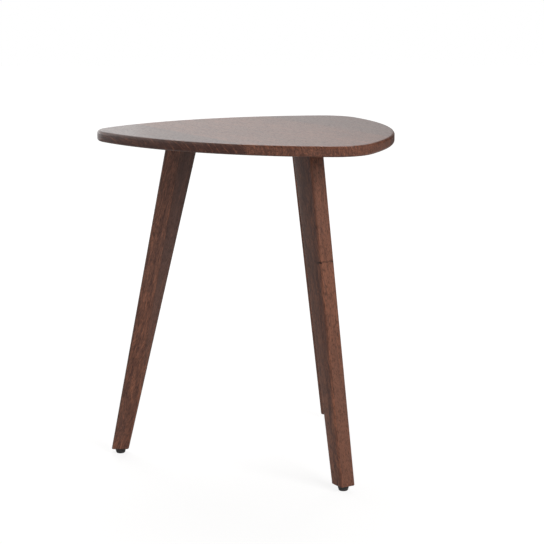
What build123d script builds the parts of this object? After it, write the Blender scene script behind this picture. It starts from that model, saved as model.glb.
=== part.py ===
from build123d import *
import math
import os

# A low side table: a board with three rounded corners on three splayed legs that taper towards the floor.
# Lengths are millimetres and bearings are degrees, counted from +X towards +Y.
# The origin lies on the floor, under the middle of the board's box, with +Z up. The left leg stands out
# towards -X, the front leg towards -Y and +X, the rear leg towards +Y and +X.

# Board
table_height = 450.0
board_thickness = 14.0
corner_reach = 224.5           # from the table's axis to the tip of a corner
corner_radius = 55.0
side_radius = 387.5            # the three sides bow outwards
edge_rounding = 3.5            # along the upper and the lower edge

# Legs
leg_inset = 93.5               # from the tip of the corner in to the leg's outer face, under the board
leg_run = 81.0                 # how far the outer face runs outwards on its way down
leg_top_depth = 42.5           # measured along the bearing
leg_foot_depth = 23.5
leg_width = 22.0
leg_edge_rounding = 3.0
leg_foot_rounding = 1.5

# Glides, nailed on under the legs
glide_height = 7.5
glide_top_radius = 7.8
glide_foot_radius = 5.9
glide_rounding = 2.0
glide_floor = 3.0              # plastic under the nail's head
nail_radius = 1.0
nail_head_radius = 2.5
nail_head_thickness = 1.0
nail_grip = 14.0               # length of nail in the wood
nail_point_length = 2.0
nail_point_radius = 0.3

# Bolt, washers and insert that hold each leg
bolt_place_share = 0.31        # of the leg's depth under the board, counted from the inner face
bolt_radius = 3.0
bolt_head_radius = 5.0
bolt_head_height = 6.0
bolt_socket_width = 5.0        # across its flats
bolt_socket_depth = 3.0
bolt_head_chamfer = 0.5
bolt_tip_chamfer = 0.8
bolt_tip_setback = 1.7         # from the bolt's tip to the insert's inner end
seat_depth = 28.0              # wood between the washer and the board
pocket_clearance = 0.5         # round the flat washer
bolt_hole_clearance = 0.4
flat_washer_radius = 6.0
flat_washer_thickness = 1.6
spring_washer_radius = 5.6
spring_washer_thickness = 1.6
spring_washer_slit = 1.0
washer_hole_clearance = 0.2
insert_core_radius = 4.6
insert_ridge_rise = 0.6
insert_ridge_count = 4
insert_socket_width = 7.0      # across its flats
insert_socket_depth = 3.0
insert_bore_clearance = 0.1
wood_over_insert = 3.0

# Dowel that keeps each leg from turning
dowel_place_share = 0.71       # of the leg's depth under the board, counted from the inner face
dowel_radius = 4.0
dowel_leg_depth = 20.0
dowel_chamfer = 0.8
flute_count = 12
flute_radius = 0.5
wood_over_dowel = 4.0

# Shared
close_fit = 0.05               # round a piece that is pressed, driven or moulded in
hole_end_gap = 0.5             # past the end of a piece in a blind hole
socket_sides = 6
overrun = 2.0                  # how far a cut runs past the face that it leaves by

# Heights that follow
underside = table_height - board_thickness
bolt_seat = underside - seat_depth

# Bearings of the three corners, and of the legs under them
first_corner_angle = 180
corner_angle = 120
leg_bearings = {
    side: first_corner_angle + place * corner_angle for place, side in enumerate(("left", "front", "rear"))
}

# Outline of the board: each corner arc is centred on a corner's bearing, and each side arc on the far side
# of the axis, so that the two meet with the same tangent.
corner_centre = corner_reach - corner_radius
centre_gap = side_radius - corner_radius
side_centre = (math.sqrt(4 * centre_gap**2 - 3 * corner_centre**2) - corner_centre) / 2
side_reach = side_radius - side_centre
half_side_angle = math.degrees(
    math.atan2(
        corner_centre * math.sin(math.radians(corner_angle / 2)),
        corner_centre * math.cos(math.radians(corner_angle / 2)) + side_centre,
    )
)
half_corner_angle = corner_angle / 2 - half_side_angle

# The corner at -X reaches further than the side at +X, so the axis stands off the middle of the box.
axis_x = (corner_reach - side_reach) / 2

# Leg in its upright plane, as distances from the table's axis
leg_top_outer = corner_reach - leg_inset
leg_top_inner = leg_top_outer - leg_top_depth
leg_foot_outer = leg_top_outer + leg_run
leg_foot_inner = leg_foot_outer - leg_foot_depth
leg_height = underside - glide_height
inner_slope = (leg_foot_inner - leg_top_inner) / leg_height
glide_reach = (leg_foot_outer + leg_foot_inner) / 2
nail_shoulder = glide_height + nail_grip - nail_point_length

# Bolt and dowel under the board
bolt_reach = leg_top_inner + leg_top_depth * bolt_place_share
dowel_reach = leg_top_inner + leg_top_depth * dowel_place_share
pocket_radius = flat_washer_radius + pocket_clearance
pocket_mouth_depth = (bolt_reach + pocket_radius - leg_top_inner) / inner_slope + overrun
pocket_depth = pocket_mouth_depth - seat_depth
insert_radius = insert_core_radius + insert_ridge_rise
insert_hole_depth = board_thickness - wood_over_insert
insert_length = insert_hole_depth - hole_end_gap
insert_bore = bolt_radius + insert_bore_clearance
ridge_pitch = insert_length / (insert_ridge_count + 1)
washer_stack = flat_washer_thickness + spring_washer_thickness
bolt_head_top = bolt_seat - washer_stack
bolt_head_foot = bolt_head_top - bolt_head_height
bolt_length = washer_stack + seat_depth + insert_length - bolt_tip_setback
dowel_board_depth = board_thickness - wood_over_dowel
dowel_foot = underside - dowel_leg_depth + hole_end_gap
dowel_length = dowel_leg_depth + dowel_board_depth - 2 * hole_end_gap


def spot(reach, bearing, height):
    """Point at a distance from the table's axis along a bearing, at a height over the floor."""
    angle = math.radians(bearing)
    return (axis_x + reach * math.cos(angle), reach * math.sin(angle), height)


def facing_up(reach, bearing, height):
    """Level plane at a spot, with its normal up."""
    return Plane(origin=spot(reach, bearing, height), z_dir=(0, 0, 1))


def facing_down(reach, bearing, height):
    """Level plane at a spot, with its normal down."""
    return Plane(origin=spot(reach, bearing, height), z_dir=(0, 0, -1))


def upright(reach, bearing, height):
    """Upright plane along a bearing: its x runs outwards from the axis and its y runs up."""
    angle = math.radians(bearing)
    outwards = (math.cos(angle), math.sin(angle), 0)
    sideways = (math.sin(angle), -math.cos(angle), 0)
    return Plane(origin=spot(reach, bearing, height), x_dir=outwards, z_dir=sideways)


def all_facing_up(reach, height):
    """Level planes at the same spot of each of the three legs, with their normals up."""
    return [facing_up(reach, bearing, height) for bearing in leg_bearings.values()]


def all_facing_down(reach, height):
    """Level planes at the same spot of each of the three legs, with their normals down."""
    return [facing_down(reach, bearing, height) for bearing in leg_bearings.values()]


def level_point(reach, bearing):
    """Point of a level sketch whose origin is the table's axis."""
    angle = math.radians(bearing)
    return (reach * math.cos(angle), reach * math.sin(angle))


os.makedirs("parts", exist_ok=True)

# Board, with blind holes in its underside for the inserts and the dowels
with BuildPart() as table_top:
    with BuildSketch(facing_up(0, 0, underside)):
        with BuildLine():
            for bearing in leg_bearings.values():
                side_bearing = bearing + corner_angle / 2
                CenterArc(
                    level_point(corner_centre, bearing),
                    corner_radius,
                    bearing - half_corner_angle,
                    2 * half_corner_angle,
                )
                CenterArc(
                    level_point(-side_centre, side_bearing),
                    side_radius,
                    side_bearing - half_side_angle,
                    2 * half_side_angle,
                )
        make_face()
    extrude(amount=board_thickness)
    levels = table_top.edges().group_by(Axis.Z)
    fillet(levels[0] + levels[-1], radius=edge_rounding)
    with Locations(*all_facing_down(bolt_reach, underside)):
        Hole(radius=insert_radius + close_fit, depth=insert_hole_depth)
    with Locations(*all_facing_down(dowel_reach, underside)):
        Hole(radius=dowel_radius + close_fit, depth=dowel_board_depth)
table_top.part.label = "table_top"
export_step(table_top.part, "parts/table_top.step")

# Legs: the outer face is straight and the taper is cut from the inner face. A pocket in the inner face lets
# the bolt up to its seat.
for side, bearing in leg_bearings.items():
    with BuildPart() as leg:
        with BuildSketch(upright(0, bearing, 0)):
            with BuildLine():
                Polyline(
                    (leg_top_inner, underside),
                    (leg_top_outer, underside),
                    (leg_foot_outer, glide_height),
                    (leg_foot_inner, glide_height),
                    close=True,
                )
            make_face()
        extrude(amount=leg_width / 2, both=True)
        fillet(leg.edges().sort_by(SortBy.LENGTH)[-4:], radius=leg_edge_rounding)
        fillet(leg.faces().sort_by(Axis.Z)[0].edges(), radius=leg_foot_rounding)
        with Locations(facing_down(bolt_reach, bearing, underside - pocket_mouth_depth)):
            CounterBoreHole(
                radius=bolt_radius + bolt_hole_clearance,
                counter_bore_radius=pocket_radius,
                counter_bore_depth=pocket_depth,
                depth=pocket_mouth_depth,
            )
        with Locations(facing_up(dowel_reach, bearing, underside)):
            Hole(radius=dowel_radius + close_fit, depth=dowel_leg_depth)
        with Locations(facing_down(glide_reach, bearing, glide_height)):
            Hole(radius=nail_radius + close_fit, depth=nail_grip + close_fit)
    leg.part.label = f"{side}_leg"
    export_step(leg.part, f"parts/{side}_leg.step")

# Glides, with the space that the nail's head and shank fill
for side, bearing in leg_bearings.items():
    with BuildPart() as glide:
        with Locations(facing_up(glide_reach, bearing, 0)):
            Cone(
                bottom_radius=glide_foot_radius,
                top_radius=glide_top_radius,
                height=glide_height,
                align=(Align.CENTER, Align.CENTER, Align.MIN),
            )
        fillet(glide.edges().filter_by(GeomType.CIRCLE).sort_by(Axis.Z)[0], radius=glide_rounding)
        with BuildSketch(facing_up(glide_reach, bearing, glide_floor - close_fit)):
            Circle(radius=nail_head_radius + close_fit)
        extrude(amount=nail_head_thickness + 2 * close_fit, mode=Mode.SUBTRACT)
        with BuildSketch(facing_up(glide_reach, bearing, glide_floor)):
            Circle(radius=nail_radius + close_fit)
        extrude(amount=glide_height - glide_floor + overrun, mode=Mode.SUBTRACT)
    glide.part.label = f"{side}_glide"
    export_step(glide.part, f"parts/{side}_glide.step")

# Nails in the glides
with BuildPart() as glide_nails:
    with BuildSketch(*all_facing_up(glide_reach, glide_floor)):
        Circle(radius=nail_head_radius)
    extrude(amount=nail_head_thickness)
    with BuildSketch(*all_facing_up(glide_reach, glide_floor)):
        Circle(radius=nail_radius)
    extrude(amount=nail_shoulder - glide_floor)
    with Locations(*all_facing_up(glide_reach, nail_shoulder)):
        Cone(
            bottom_radius=nail_radius,
            top_radius=nail_point_radius,
            height=nail_point_length,
            align=(Align.CENTER, Align.CENTER, Align.MIN),
        )
glide_nails.part.label = "glide_nails"
export_step(glide_nails.part, "parts/glide_nails.step")

# Bolts, heads down
with BuildPart() as leg_bolts:
    with BuildSketch(*all_facing_up(bolt_reach, bolt_head_foot)):
        Circle(radius=bolt_head_radius)
    extrude(amount=bolt_head_height)
    with BuildSketch(*all_facing_up(bolt_reach, bolt_head_top)):
        Circle(radius=bolt_radius)
    extrude(amount=bolt_length)
    rims = leg_bolts.edges().filter_by(GeomType.CIRCLE).group_by(Axis.Z)
    chamfer(rims[0], length=bolt_head_chamfer)
    chamfer(rims[-1], length=bolt_tip_chamfer)
    with BuildSketch(*all_facing_up(bolt_reach, bolt_head_foot)):
        RegularPolygon(radius=bolt_socket_width / 2, side_count=socket_sides, major_radius=False)
    extrude(amount=bolt_socket_depth, mode=Mode.SUBTRACT)
leg_bolts.part.label = "leg_bolts"
export_step(leg_bolts.part, "parts/leg_bolts.step")

# Flat washers against the wood
with BuildPart() as flat_washers:
    with BuildSketch(*all_facing_up(bolt_reach, bolt_seat - flat_washer_thickness)):
        Circle(radius=flat_washer_radius)
        Circle(radius=bolt_radius + washer_hole_clearance, mode=Mode.SUBTRACT)
    extrude(amount=flat_washer_thickness)
flat_washers.part.label = "flat_washers"
export_step(flat_washers.part, "parts/flat_washers.step")

# Spring washers against the bolts' heads, pressed flat, each with its slit on the open side of the pocket
with BuildPart() as spring_washers:
    with BuildSketch(*all_facing_up(bolt_reach, bolt_head_top)):
        Circle(radius=spring_washer_radius)
        Circle(radius=bolt_radius + washer_hole_clearance, mode=Mode.SUBTRACT)
    extrude(amount=spring_washer_thickness)
    for bearing in leg_bearings.values():
        with BuildSketch(upright(bolt_reach, bearing, bolt_head_top)):
            with Locations((-spring_washer_radius, spring_washer_thickness / 2)):
                Rectangle(2 * spring_washer_radius, spring_washer_thickness + overrun)
        extrude(amount=spring_washer_slit / 2, both=True, mode=Mode.SUBTRACT)
spring_washers.part.label = "spring_washers"
export_step(spring_washers.part, "parts/spring_washers.step")

# Threaded inserts in the board: a bored core with ridges outside and a six-sided socket in its mouth
for side, bearing in leg_bearings.items():
    with BuildPart() as insert:
        with BuildSketch(upright(bolt_reach, bearing, underside)):
            with Locations(((insert_bore + insert_core_radius) / 2, insert_length / 2)):
                Rectangle(insert_core_radius - insert_bore, insert_length)
            for ridge in range(insert_ridge_count):
                ridge_height = (ridge + 1) * ridge_pitch
                with BuildLine():
                    Polyline(
                        (insert_core_radius, ridge_height - ridge_pitch / 2),
                        (insert_radius, ridge_height),
                        (insert_core_radius, ridge_height + ridge_pitch / 2),
                        close=True,
                    )
                make_face()
        revolve(axis=Axis(spot(bolt_reach, bearing, underside), (0, 0, 1)))
        with BuildSketch(facing_up(bolt_reach, bearing, underside)):
            RegularPolygon(radius=insert_socket_width / 2, side_count=socket_sides, major_radius=False)
        extrude(amount=insert_socket_depth, mode=Mode.SUBTRACT)
    insert.part.label = f"{side}_insert"
    export_step(insert.part, f"parts/{side}_insert.step")

# Dowels, fluted for the glue
for side, bearing in leg_bearings.items():
    with BuildPart() as dowel:
        with BuildSketch(facing_up(dowel_reach, bearing, dowel_foot)):
            Circle(radius=dowel_radius)
        extrude(amount=dowel_length)
        chamfer(dowel.edges().filter_by(GeomType.CIRCLE), length=dowel_chamfer)
        with BuildSketch(facing_up(dowel_reach, bearing, dowel_foot)):
            with PolarLocations(dowel_radius, flute_count):
                Circle(radius=flute_radius)
        extrude(amount=dowel_length, mode=Mode.SUBTRACT)
    dowel.part.label = f"{side}_dowel"
    export_step(dowel.part, f"parts/{side}_dowel.step")
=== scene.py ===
"""A side table: a board with three rounded corners on three splayed, tapered legs.

Everything is in metres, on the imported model's own axes: +Z up, the floor at 0, the camera looking along +Y.
"""

import math

import bpy
import numpy as np
from bpy.props import FloatProperty, FloatVectorProperty, IntProperty, PointerProperty
from mathutils import Matrix, Vector


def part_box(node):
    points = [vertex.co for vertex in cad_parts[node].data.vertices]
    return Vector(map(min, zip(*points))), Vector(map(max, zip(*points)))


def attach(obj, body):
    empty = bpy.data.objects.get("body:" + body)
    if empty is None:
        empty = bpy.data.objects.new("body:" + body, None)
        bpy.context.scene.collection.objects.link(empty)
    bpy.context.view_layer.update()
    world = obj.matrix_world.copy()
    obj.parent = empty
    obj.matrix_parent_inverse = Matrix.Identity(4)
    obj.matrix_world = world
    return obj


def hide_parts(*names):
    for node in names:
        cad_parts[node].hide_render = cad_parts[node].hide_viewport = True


bl_info = {
    "name": "Three-cornered side table",
    "version": (1, 0, 0),
    "blender": (4, 5, 0),
    "location": "3D View > Sidebar > Side Table",
    "description": "Dresses the board, the legs and the fittings of a small side table",
    "category": "Add Mesh",
}

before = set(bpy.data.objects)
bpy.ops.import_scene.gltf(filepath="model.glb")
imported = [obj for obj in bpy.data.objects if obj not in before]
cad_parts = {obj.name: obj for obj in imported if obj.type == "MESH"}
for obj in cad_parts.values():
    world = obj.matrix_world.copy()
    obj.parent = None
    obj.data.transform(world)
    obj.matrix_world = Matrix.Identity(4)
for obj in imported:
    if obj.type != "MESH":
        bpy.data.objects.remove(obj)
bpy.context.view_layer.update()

MM = 0.001
BODY = "root"
# Bearings of the legs about the table's axis, in degrees from +X towards +Y
LEG_BEARINGS = {"left": 180, "front": 300, "rear": 60}
THIRD_TURN = math.radians(120)


def middle(node):
    """Middle of a CAD node's box."""
    low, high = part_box(node)
    return (low + high) / 2


# Places that the frame gives: the table's axis, the reach of what stands about it, and the heights
AXIS = sum((middle(f"{side}_glide") for side in LEG_BEARINGS), Vector()) / len(LEG_BEARINGS)
GLIDE_REACH = AXIS.x - middle("left_glide").x
BOLT_REACH = AXIS.x - middle("left_insert").x
DOWEL_REACH = AXIS.x - middle("left_dowel").x
UNDERSIDE, TABLE_HEIGHT = (corner.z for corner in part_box("table_top"))
FLOOR, GLIDE_TOP = (corner.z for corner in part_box("left_glide"))
NAIL_FOOT, NAIL_TIP = (corner.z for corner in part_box("glide_nails"))
DOWEL_FOOT, DOWEL_TIP = (corner.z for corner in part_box("left_dowel"))
SCREW_FOOT, SCREW_TIP = (corner.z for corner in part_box("leg_bolts"))
SCREW_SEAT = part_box("spring_washers")[0].z
POCKET_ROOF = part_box("flat_washers")[1].z
INSERT_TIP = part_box("left_insert")[1].z
INSERT_RADIUS = (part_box("left_insert")[1].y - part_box("left_insert")[0].y) / 2
DOWEL_RADIUS = (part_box("left_dowel")[1].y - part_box("left_dowel")[0].y) / 2
NAIL_HEAD_RADIUS, NAIL_HEAD_HEIGHT, NAIL_RADIUS = 2.5 * MM, 1 * MM, 1 * MM
# Gaps round a fitting and beyond its end, and how far outside the wood a hole's cutter starts
FIT, HOLE_END_GAP, REACH_OUT = 0.05 * MM, 0.5 * MM, 2 * MM
# Columns of a turned hole, of a nail's hole and of a glide
HOLE_COLUMNS, NAIL_COLUMNS, GLIDE_COLUMNS = 64, 32, 96
# Angles in degrees from which a fold is a sharp edge: on most pieces, and on the fine thread of the screws
SHARP_ANGLE, THREAD_SHARP_ANGLE = 40, 28


def linear(hex_colour):
    """Linear red, green, blue and alpha of an sRGB hex colour."""
    channels = np.array([int(hex_colour[start : start + 2], 16) for start in (1, 3, 5)]) / 255
    curve = np.where(channels > 0.04045, ((channels + 0.055) / 1.055) ** 2.4, channels / 12.92)
    return (*curve.tolist(), 1.0)


class SideTableSizes(bpy.types.PropertyGroup):
    """Sizes of the table's pieces"""

    corner_reach: FloatProperty(
        name="Corner reach", description="From the table's axis to a corner's tip",
        default=224.5 * MM, unit="LENGTH",
    )
    corner_radius: FloatProperty(
        name="Corner radius", description="Radius of the board's corners",
        default=55 * MM, unit="LENGTH",
    )
    side_radius: FloatProperty(
        name="Side radius", description="Radius of the board's bowed sides",
        default=387.5 * MM, unit="LENGTH",
    )
    board_rounding: FloatProperty(
        name="Board rounding", description="Radius of the board's two edges",
        default=3.5 * MM, unit="LENGTH",
    )
    stave_width: FloatProperty(
        name="Stave width", description="Width of the staves that make the board",
        default=52.75 * MM, unit="LENGTH",
    )
    leg_top_reach: FloatProperty(
        name="Leg top reach", description="From the axis to the leg's outer face, at the board",
        default=131 * MM, unit="LENGTH",
    )
    leg_foot_reach: FloatProperty(
        name="Leg foot reach", description="From the axis to the leg's outer face, at the foot",
        default=212 * MM, unit="LENGTH",
    )
    leg_top_depth: FloatProperty(
        name="Leg top depth", description="Depth of the leg under the board",
        default=42.5 * MM, unit="LENGTH",
    )
    leg_foot_depth: FloatProperty(
        name="Leg foot depth", description="Depth of the leg at its foot",
        default=23.5 * MM, unit="LENGTH",
    )
    leg_width: FloatProperty(
        name="Leg width", description="Width of the leg, the same all the way down",
        default=22 * MM, unit="LENGTH",
    )
    leg_rounding: FloatProperty(
        name="Leg rounding", description="Radius of the leg's long edges",
        default=3 * MM, unit="LENGTH",
    )
    foot_rounding: FloatProperty(
        name="Foot rounding", description="Radius round the leg's foot",
        default=1.5 * MM, unit="LENGTH",
    )
    glide_top_radius: FloatProperty(
        name="Glide top radius", description="Radius of the glide against the leg",
        default=7.8 * MM, unit="LENGTH",
    )
    glide_foot_radius: FloatProperty(
        name="Glide foot radius", description="Radius to which the glide tapers",
        default=5.9 * MM, unit="LENGTH",
    )
    glide_rounding: FloatProperty(
        name="Glide rounding", description="Radius round the glide's foot",
        default=2 * MM, unit="LENGTH",
    )
    screw_radius: FloatProperty(
        name="Screw radius", description="Outer radius of the screw's thread",
        default=3 * MM, unit="LENGTH",
    )
    thread_pitch: FloatProperty(
        name="Thread pitch", description="Rise of the thread in one turn",
        default=1 * MM, unit="LENGTH",
    )
    thread_length: FloatProperty(
        name="Thread length", description="Length of the thread from the screw's tip",
        default=24 * MM, unit="LENGTH",
    )
    knurl_count: IntProperty(
        name="Knurls", description="Number of ridges round the screw's head",
        default=36, min=6,
    )
    socket_width: FloatProperty(
        name="Socket width", description="Width of the screw's socket across its flats",
        default=5 * MM, unit="LENGTH",
    )


class SideTableFinish(bpy.types.PropertyGroup):
    """Colours and gloss of the table's materials"""

    stain_deep: FloatVectorProperty(
        name="Stain, deep", description="Darkest wood",
        default=linear("#4a2d26"), size=4, subtype="COLOR",
    )
    stain_middle: FloatVectorProperty(
        name="Stain, middle", description="Most of the wood",
        default=linear("#6c4637"), size=4, subtype="COLOR",
    )
    stain_light: FloatVectorProperty(
        name="Stain, light", description="Lightest, orange wood",
        default=linear("#9a6249"), size=4, subtype="COLOR",
    )
    stain_grey: FloatVectorProperty(
        name="Stain, grey", description="Greyer wood of some strips",
        default=linear("#5a453f"), size=4, subtype="COLOR",
    )
    lacquer_roughness: FloatProperty(
        name="Lacquer roughness", description="Roughness of the satin lacquer",
        default=0.3, min=0, max=1, subtype="FACTOR",
    )
    glide_black: FloatVectorProperty(
        name="Glide black", description="Plastic of the glides",
        default=linear("#403e3d"), size=4, subtype="COLOR",
    )
    zinc_plating: FloatVectorProperty(
        name="Zinc plating", description="Screws and flat washers",
        default=linear("#b4b8bc"), size=4, subtype="COLOR",
    )
    spring_steel: FloatVectorProperty(
        name="Spring steel", description="Spring washers",
        default=linear("#6f6c6a"), size=4, subtype="COLOR",
    )
    cast_zinc: FloatVectorProperty(
        name="Cast zinc", description="Threaded inserts",
        default=linear("#96979a"), size=4, subtype="COLOR",
    )
    nail_steel: FloatVectorProperty(
        name="Nail steel", description="Nails of the glides",
        default=linear("#c3c1bd"), size=4, subtype="COLOR",
    )
    dowel_beech: FloatVectorProperty(
        name="Dowel beech", description="Raw wood of the dowels",
        default=linear("#c8a680"), size=4, subtype="COLOR",
    )


def arc(centre, radius, start, end, steps):
    """Points of an arc, in degrees: the centre plus the radius times the cosine and the sine of even steps of
    the angle."""
    angle = np.radians(np.linspace(start, end, steps + 1))
    return np.column_stack((centre[0] + radius * np.cos(angle), centre[1] + radius * np.sin(angle)))


def spot(reach, bearing, height=0.0):
    """Point at a distance from the table's axis along a bearing in degrees, at a height over the floor."""
    angle = math.radians(bearing)
    return Vector((AXIS.x + reach * math.cos(angle), reach * math.sin(angle), height))


def turned(profile, place, columns):
    """Rings of a turned shell: the place plus each radius of the profile times the cosine and the sine of
    even angles, at the height that goes with the radius."""
    angle = np.linspace(0, 2 * np.pi, columns, endpoint=False)
    radius, height = np.asarray(profile, float).T[:, :, None]
    rings = np.broadcast_arrays(place.x + radius * np.cos(angle), place.y + radius * np.sin(angle), height)
    return np.stack(rings, axis=-1)


def closed_faces(rings, columns, first):
    """Corner numbers of a closed shell's quads and triangles. Each face joins a ring to the next one up and a
    column to the next one round; the single points at both ends close it with triangles."""
    index = first + 1 + np.arange(rings * columns).reshape(rings, columns)
    ahead = np.roll(index, -1, axis=1)
    quads = np.stack([index[:-1], ahead[:-1], ahead[1:], index[1:]], axis=-1).reshape(-1, 4)
    foot = np.stack([np.full(columns, first), ahead[0], index[0]], axis=-1)
    head = np.stack([index[-1], ahead[-1], np.full(columns, index[-1, -1] + 1)], axis=-1)
    return foot.tolist() + quads.tolist() + head.tolist()


def add_piece(name, *shells):
    """A mesh object through closed shells. A shell is an array of rings of points that runs from its lowest
    point up, anticlockwise as seen from above, and its first and last ring are each one point."""
    points, faces = [], []
    for shell in shells:
        faces += closed_faces(len(shell) - 2, shell.shape[1], sum(map(len, points)))
        points += [shell[0, :1], shell[1:-1].reshape(-1, 3), shell[-1, :1]]
    mesh = bpy.data.meshes.new(name)
    mesh.from_pydata(np.vstack(points).tolist(), [], faces)
    piece = bpy.data.objects.new(name, mesh)
    bpy.context.scene.collection.objects.link(piece)
    return piece


def bore(piece, *shells):
    """Cuts closed shells out of a piece and keeps the result as the piece's mesh."""
    cutter = add_piece("cutter", *shells)
    cut = piece.modifiers.new("bore", "BOOLEAN")
    cut.operation, cut.solver, cut.object = "DIFFERENCE", "EXACT", cutter
    graph = bpy.context.evaluated_depsgraph_get()
    before, piece.data = piece.data, bpy.data.meshes.new_from_object(piece.evaluated_get(graph))
    piece.modifiers.clear()
    bpy.data.meshes.remove(cutter.data)
    if len(piece.data.polygons) <= len(before.polygons):
        raise RuntimeError(f"the holes of {piece.name} were not cut")
    bpy.data.meshes.remove(before)


def finish_piece(piece, material, slot, sharp_angle, *nodes):
    """Smooths a piece between its sharp edges, gives it its material and ties it to the frame."""
    piece.data.shade_smooth()
    piece.data.set_sharp_from_angle(angle=math.radians(sharp_angle))
    piece.data.materials.clear()
    piece.data.materials.append(material)
    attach(piece, BODY)
    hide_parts(*nodes)


def add_node(tree, kind, inputs=(), stops=(), **settings):
    """Adds a shader node with its settings, the stops of its ramp where it has one, and its inputs' values or
    links: a tuple gives them in the inputs' order, a dict by name or number. Returns the node's outputs."""
    node = tree.nodes.new(kind)
    for name, value in settings.items():
        setattr(node, name, value)
    for socket, value in inputs.items() if isinstance(inputs, dict) else enumerate(inputs):
        if isinstance(value, bpy.types.NodeSocket):
            tree.links.new(value, node.inputs[socket])
        else:
            node.inputs[socket].default_value = value
    for number, (position, colour) in enumerate(stops):
        elements = node.color_ramp.elements
        stop = elements[number] if number < len(elements) else elements.new(position)
        stop.position, stop.color = position, colour
    return node.outputs


def new_material(name):
    """A new material that holds only its shader and its output. Returns it, its node tree and the shader."""
    material = bpy.data.materials.new(name)
    material.use_nodes = True
    tree = material.node_tree
    return material, tree, tree.nodes["Principled BSDF"]


# Grain of rubberwood: how far each pattern runs along the grain, outwards from the pith and round it, in mm,
# how far it slopes to the grain, in radians, and how far it moves the tone. The pores, the fibre and the
# bands of the real wood are a fifth of this width, too fine to show at the picture's 1.3 mm a pixel, so they
# are drawn coarser.
GRAIN = {
    "cloud": (150, 38, 38, 0.0, 0.5),
    "band": (120, 2.2, 12, 0.0, 0.9),
    "mottle": (26, 4.5, 6, 0.1, 0.3),
    "fibre": (26, 0.9, 2.2, 0.05, 1.6),
    "fleck": (5.0, 1.0, 1.1, 0.15, 1.0),
    "pore": (5.0, 1.1, 1.1, 0.15, 0.0),
}
# How the grain wanders, in mm: the length and breadth of a bend, and how far it goes
BEND_SIZE, BEND_REACH = (90, 60, 60), (0, 22, 22)
# What tells one layer from the next, in mm: its shift across and along the grain, and the depth of its pith
# where its rule says 1. Round the pith, an angle counts as mm at this radius.
SHIFT_ACROSS, SHIFT_ALONG, PITH_DEPTH, TURN_RADIUS = 12.0, 400.0, 100.0, 60.0
# Growth rings: their spacing and how far the bands push them, in mm, their width as a share, and their tone
RING_SPACING, RING_PUSH, RING_WIDTH, RING_TONE = 5.5, 3.0, 0.1, 0.5
# Glued joint between two layers: how far off it is still dark and already gone, in mm, and its shade
GLUE_DARK, GLUE_GONE, GLUE_SHADE = 0.15, 0.6, -0.2
# End grain of the board's edge: its tone, and what heartwood adds to its tone and its greyness
END_TONE, HEART_TONE, HEART_GREYNESS = -0.04, -0.22, -0.5
# Side of a leg that is sawn across the rings: where it starts and is full, in mm off the leg's middle
SIDE_START, SIDE_FULL = 8.0, 10.0
# Finger joint: half a finger's width and its slope, where it starts and is full in the leg's depth, and how
# far off its line is dark and gone, in mm; how dark that is beside a glued joint, and the tone of the piece
# below it
FINGER_WIDTH, FINGER_SLOPE, FINGER_START, FINGER_FULL = 4.5, 0.35, -9.0, -3.0
FINGER_DARK, FINGER_GONE, FINGER_SHADE, LOWER_TONE = 0.6, 1.4, 3.0, 0.1
# Tones at which the stain's deep, middle and light colours stand, and how far the clouds move the greyness
DEEP, MIDDLE, LIGHT = 0.1, 0.5, 1.0
CLOUD_GREYNESS = 1.2
# Pores: where their noise starts and is full, their shade and dullness, and the shade of the wood between
PORE_START, PORE_FULL, PORE_SHADE, PORE_ROUGHNESS, WOOD_SHADE = 0.52, 0.62, -0.5, 0.1, 1.09
# Relief that the sanded grain leaves in the lacquer: its strength and its height in mm
RELIEF_STRENGTH, RELIEF_HEIGHT = 0.35, 0.02
LACQUER_IOR = 1.5
# Numbers of the Mix node's two colours among its inputs, and of their mixture among its outputs
MIX_FROM, MIX_TO, MIX_RESULT = 6, 7, 2


def wood_axes(tree, origin, along, outward):
    """A point's place on the wood's own axes in mm: x along the grain, y across it and z out of the face."""
    x_axis, z_axis = Vector(along).normalized(), Vector(outward).normalized()
    turn = Matrix((x_axis, z_axis.cross(x_axis), z_axis)).transposed().to_euler()
    place = add_node(tree, "ShaderNodeTexCoord")["Object"]
    inputs = {"Vector": place, "Location": origin, "Rotation": turn, "Scale": (MM, MM, MM)}
    return add_node(tree, "ShaderNodeMapping", inputs, vector_type="TEXTURE")["Vector"]


def wood_layers(tree, place, layers, layer_size, up, first):
    """Which layer a point is in, the ramp of that layer's rules, and the glued joint there. The layer is the
    point's place along the direction up over the layers' size, plus the number of layers before the origin.
    Past the last layer's far face, its rules go on."""
    height = add_node(tree, "ShaderNodeVectorMath", (place, up), operation="DOT_PRODUCT")["Value"]
    inputs = (height, 1 / layer_size, first)
    layer = add_node(tree, "ShaderNodeMath", inputs, operation="MULTIPLY_ADD")[0]
    layer = add_node(tree, "ShaderNodeMath", (layer, len(layers) - 0.5), operation="MINIMUM")[0]
    share = add_node(tree, "ShaderNodeMath", (layer, len(layers)), operation="DIVIDE")[0]
    stops = [(number / len(layers), rules) for number, rules in enumerate(layers)]
    ramp = add_node(tree, "ShaderNodeValToRGB", (share,), stops=stops)
    ramp["Color"].node.color_ramp.interpolation = "CONSTANT"
    off_joint = add_node(tree, "ShaderNodeMath", (layer, 0.5), operation="PINGPONG")[0]
    off_joint = add_node(tree, "ShaderNodeMath", (off_joint, layer_size), operation="MULTIPLY")[0]
    inputs = (off_joint, GLUE_DARK, GLUE_GONE, 1.0, 0.0)
    glue = add_node(tree, "ShaderNodeMapRange", inputs, interpolation_type="SMOOTHSTEP")["Result"]
    return layer, ramp, glue


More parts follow.
